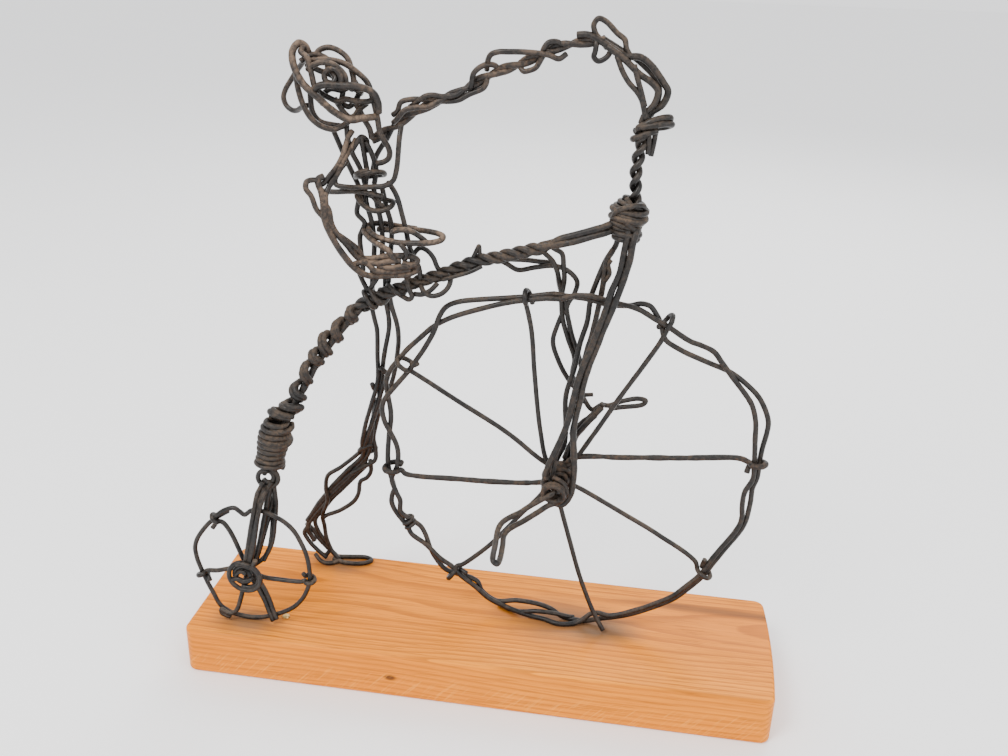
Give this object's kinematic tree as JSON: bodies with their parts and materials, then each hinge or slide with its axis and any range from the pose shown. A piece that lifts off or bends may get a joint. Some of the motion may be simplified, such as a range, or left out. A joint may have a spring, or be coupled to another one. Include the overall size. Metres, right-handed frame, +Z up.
{
  "type": "wire sculpture",
  "caption": "Bent-wire rider on a high-wheel bicycle with a large spoked front wheel and a small rear wheel, standing on a wooden plinth.",
  "frame": {"origin": "centre of the plinth's flat underside", "axes": "+X along the plinth towards the large wheel, +Y from the viewer's side to the far side, +Z up"},
  "size_m": [0.2798, 0.078, 0.3059],
  "materials": {
    "wood": "satin varnished orange-brown softwood, grain along the length, eased edges",
    "dark_wire": "dark annealed iron wire, dull with brown-grey dust on the upper sides",
    "rusty_wire": "thicker rough iron wire with a scaly brown skin",
    "dusty_wire": "dark iron wire with a tan bloom on its worn and upper sides",
    "brass": "small worn brass head"
  },
  "bodies": {
    "root": {"axle_and_cranks": "dark_wire", "backbone": "dark_wire", "brass_brad": "brass", "far_arm": "dusty_wire", "fork": "dark_wire", "handlebar": "dark_wire", "head": "dusty_wire", "large_wheel_hub": "dark_wire", "large_wheel_rim": "dark_wire", "large_wheel_spoke_1": "dark_wire", "large_wheel_spoke_2": "dark_wire", "large_wheel_spoke_3": "rusty_wire", "large_wheel_spoke_4": "dark_wire", "large_wheel_spoke_5": "dark_wire", "large_wheel_spoke_6": "dark_wire", "large_wheel_spoke_7": "rusty_wire", "large_wheel_spoke_8": "dark_wire", "near_arm": "dusty_wire", "plinth": "wood", "rear_fork": "dark_wire", "riding_leg": "dark_wire", "small_wheel_rim": "dark_wire", "small_wheel_spoke_1": "dark_wire", "small_wheel_spoke_2": "dark_wire", "small_wheel_spoke_3": "dark_wire", "small_wheel_spoke_4": "dark_wire", "small_wheel_spoke_5": "dark_wire", "spring_barrel": "dark_wire", "spring_open_coil": "dark_wire", "standing_leg": "dark_wire", "torso": "dark_wire", "waist_loops": "dark_wire"}
  },
  "joints": []
}
